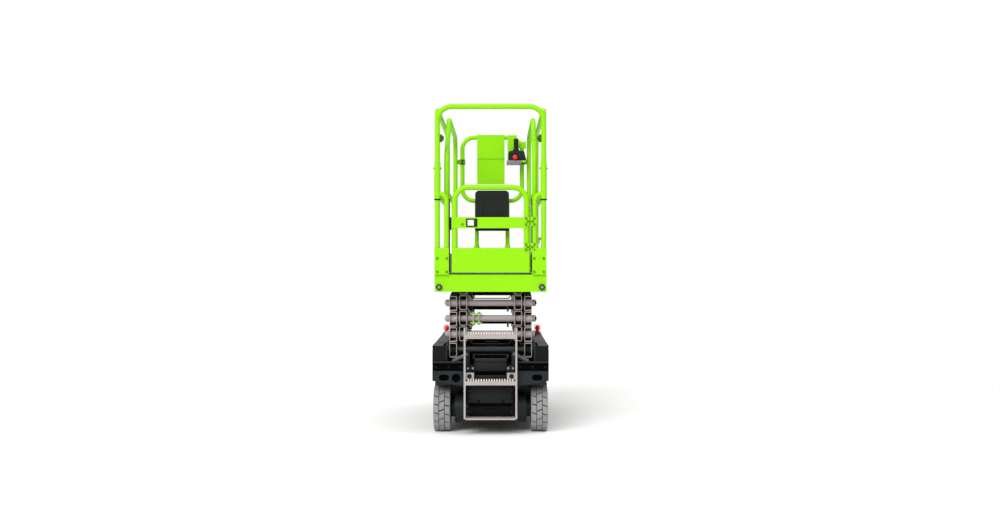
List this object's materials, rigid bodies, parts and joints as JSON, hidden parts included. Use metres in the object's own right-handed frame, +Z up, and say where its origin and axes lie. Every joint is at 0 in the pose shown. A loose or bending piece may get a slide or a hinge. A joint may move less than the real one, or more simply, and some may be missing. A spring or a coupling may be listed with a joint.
{
  "type": "scissor lift",
  "caption": "Electric slab scissor lift with stacked crossed arms, a railed work platform with roll-out extension and rear gate, a rear ladder, steered front wheels and swing-out trays.",
  "frame": {"origin": "on the ground under the middle of the machine", "axes": "+X to the right seen from the ladder end, +Y to the front, +Z up"},
  "size_m": [0.76, 1.85, 2.162],
  "materials": {
    "charcoal_paint": "satin powder coat",
    "grey_paint": "satin powder coat",
    "lime_paint": "satin powder coat",
    "deck_plate": "raised anti-slip plate",
    "grey_tyre": "non-marking solid rubber",
    "rim_paint": "satin paint",
    "black_plastic": "fine grain",
    "red_plastic": "moulded",
    "bright_steel": "hard chrome",
    "black_rubber": "moulded rubber"
  },
  "bodies": {
    "chassis": {"chassis_frame": "charcoal_paint", "fenders": "charcoal_paint", "rear_bumper": "charcoal_paint", "base_shaft": "charcoal_paint", "roller_tracks": "charcoal_paint", "drive_motors": "charcoal_paint", "front_axle": "charcoal_paint", "ladder": "grey_paint", "rear_panel": "charcoal_paint", "service_box": "black_plastic", "beacons": "red_plastic", "front_bumper": "charcoal_paint", "pothole_guards": "charcoal_paint"},
    "knuckle_left": {"knuckle_left": "charcoal_paint"},
    "knuckle_right": {"knuckle_right": "charcoal_paint"},
    "tie_rod": {"tie_rod": "charcoal_paint"},
    "tray_left": {"tray_left": "charcoal_paint", "battery_pack": "black_plastic"},
    "tray_right": {"tray_right": "charcoal_paint", "pump_unit": "charcoal_paint"},
    "lift_barrel": {"lift_barrel": "charcoal_paint"},
    "lift_rod": {"lift_rod": "bright_steel"},
    "platform": {"platform_deck": "lime_paint", "bumper_pads": "black_rubber", "rear_posts": "lime_paint", "rear_hoop": "lime_paint", "side_rail_left": "lime_paint", "side_rail_right": "lime_paint", "gate_hinges": "bright_steel"},
    "gate": {"gate": "lime_paint"},
    "extension": {"extension_deck": "deck_plate", "slide_rail_left": "lime_paint", "slide_rail_right": "lime_paint", "front_ring": "lime_paint", "sign_panel": "lime_paint", "document_box": "black_plastic", "control_bracket": "lime_paint", "control_box": "black_plastic", "stop_button": "red_plastic", "joystick": "black_plastic"},
    "wheel_rear_left": {"tyre_rear_left": "grey_tyre", "rim_rear_left": "rim_paint"},
    "wheel_rear_right": {"tyre_rear_right": "grey_tyre", "rim_rear_right": "rim_paint"},
    "wheel_front_left": {"tyre_front_left": "grey_tyre", "rim_front_left": "rim_paint"},
    "wheel_front_right": {"tyre_front_right": "grey_tyre", "rim_front_right": "rim_paint"},
    "outer_arms_1": {"outer_arms_1": "grey_paint"},
    "inner_arms_1": {"inner_arms_1": "grey_paint"},
    "outer_arms_2": {"outer_arms_2": "grey_paint"},
    "inner_arms_2": {"inner_arms_2": "grey_paint"},
    "outer_arms_3": {"outer_arms_3": "grey_paint"},
    "inner_arms_3": {"inner_arms_3": "grey_paint"},
    "outer_arms_4": {"outer_arms_4": "grey_paint"},
    "inner_arms_4": {"inner_arms_4": "grey_paint"}
  },
  "joints": [
    {"name": "lift", "type": "hinge", "parent": "chassis", "child": "outer_arms_1", "pos_m": [0, -0.735, 0.546], "axis": [1, 0, 0], "range_deg": [0, 55.3]},
    {"name": "cross_1", "type": "hinge", "parent": "outer_arms_1", "child": "inner_arms_1", "pos_m": [0, 0.01323, 0.5975], "axis": [1, 0, 0], "range_deg": [-110.65, 0]},
    {"name": "stack_2", "type": "hinge", "parent": "inner_arms_1", "child": "outer_arms_2", "pos_m": [0, -0.735, 0.649], "axis": [1, 0, 0], "range_deg": [0, 110.65]},
    {"name": "cross_2", "type": "hinge", "parent": "outer_arms_2", "child": "inner_arms_2", "pos_m": [0, 0.01323, 0.7005], "axis": [1, 0, 0], "range_deg": [-110.65, 0]},
    {"name": "stack_3", "type": "hinge", "parent": "inner_arms_2", "child": "outer_arms_3", "pos_m": [0, -0.735, 0.752], "axis": [1, 0, 0], "range_deg": [0, 110.65]},
    {"name": "cross_3", "type": "hinge", "parent": "outer_arms_3", "child": "inner_arms_3", "pos_m": [0, 0.01323, 0.8035], "axis": [1, 0, 0], "range_deg": [-110.65, 0]},
    {"name": "stack_4", "type": "hinge", "parent": "inner_arms_3", "child": "outer_arms_4", "pos_m": [0, -0.735, 0.855], "axis": [1, 0, 0], "range_deg": [0, 110.65]},
    {"name": "cross_4", "type": "hinge", "parent": "outer_arms_4", "child": "inner_arms_4", "pos_m": [0, 0.01323, 0.9065], "axis": [1, 0, 0], "range_deg": [-110.65, 0]},
    {"name": "platform_level", "type": "hinge", "parent": "inner_arms_4", "child": "platform", "pos_m": [0, -0.735, 0.958], "axis": [1, 0, 0], "range_deg": [0, 55.35]},
    {"name": "barrel_swing", "type": "hinge", "parent": "chassis", "child": "lift_barrel", "pos_m": [0, 0.40003, 0.385], "axis": [1, 0, 0], "range_deg": [-21.15, 0]},
    {"name": "rod_slide", "type": "slide", "parent": "lift_barrel", "child": "lift_rod", "axis": [0, -0.9746, 0.224], "range_m": [0, 0.36105]},
    {"name": "extension_slide", "type": "slide", "parent": "platform", "child": "extension", "axis": [0, 1, 0], "range_m": [0, 0.9]},
    {"name": "gate_swing", "type": "hinge", "parent": "platform", "child": "gate", "pos_m": [0.2603, -0.85, 1.3], "axis": [0, 0, -1], "range_deg": [0, 80]},
    {"name": "steer_left", "type": "hinge", "parent": "chassis", "child": "knuckle_left", "pos_m": [-0.235, 0.675, 0.1525], "axis": [0, 0, 1], "range_deg": [-65, 65]},
    {"name": "steer_right", "type": "hinge", "parent": "chassis", "child": "knuckle_right", "pos_m": [0.235, 0.675, 0.1525], "axis": [0, 0, 1], "range_deg": [-65.1, 65.1]},
    {"name": "tie_rod_pivot", "type": "hinge", "parent": "knuckle_left", "child": "tie_rod", "pos_m": [-0.235, 0.595, 0.076], "axis": [0, 0, 1], "range_deg": [-65.1, 65.1]},
    {"name": "rear_left_spin", "type": "hinge", "parent": "chassis", "child": "wheel_rear_left", "pos_m": [-0.322, -0.685, 0.1525], "axis": [1, 0, 0], "continuous": true},
    {"name": "front_left_spin", "type": "hinge", "parent": "knuckle_left", "child": "wheel_front_left", "pos_m": [-0.322, 0.675, 0.1525], "axis": [1, 0, 0], "continuous": true},
    {"name": "tray_left_swing", "type": "hinge", "parent": "chassis", "child": "tray_left", "pos_m": [-0.37, -0.513, 0.3], "axis": [0, 0, 1], "range_deg": [0, 90]},
    {"name": "rear_right_spin", "type": "hinge", "parent": "chassis", "child": "wheel_rear_right", "pos_m": [0.322, -0.685, 0.1525], "axis": [1, 0, 0], "continuous": true},
    {"name": "front_right_spin", "type": "hinge", "parent": "knuckle_right", "child": "wheel_front_right", "pos_m": [0.322, 0.675, 0.1525], "axis": [1, 0, 0], "continuous": true},
    {"name": "tray_right_swing", "type": "hinge", "parent": "chassis", "child": "tray_right", "pos_m": [0.37, -0.513, 0.3], "axis": [0, 0, -1], "range_deg": [0, 90]}
  ],
  "couplings": [
    {"joint": "cross_1", "follows": "lift", "ratio": -2},
    {"joint": "stack_2", "follows": "lift", "ratio": 2},
    {"joint": "cross_2", "follows": "lift", "ratio": -2},
    {"joint": "stack_3", "follows": "lift", "ratio": 2},
    {"joint": "cross_3", "follows": "lift", "ratio": -2},
    {"joint": "stack_4", "follows": "lift", "ratio": 2},
    {"joint": "cross_4", "follows": "lift", "ratio": -2},
    {"joint": "platform_level", "follows": "lift", "ratio": 1},
    {"joint": "barrel_swing", "follows": "lift", "ratio": -0.38156},
    {"joint": "rod_slide", "follows": "lift", "m_per_rad": 0.37305},
    {"joint": "steer_right", "follows": "steer_left", "ratio": 1},
    {"joint": "tie_rod_pivot", "follows": "steer_left", "ratio": -1}
  ]
}
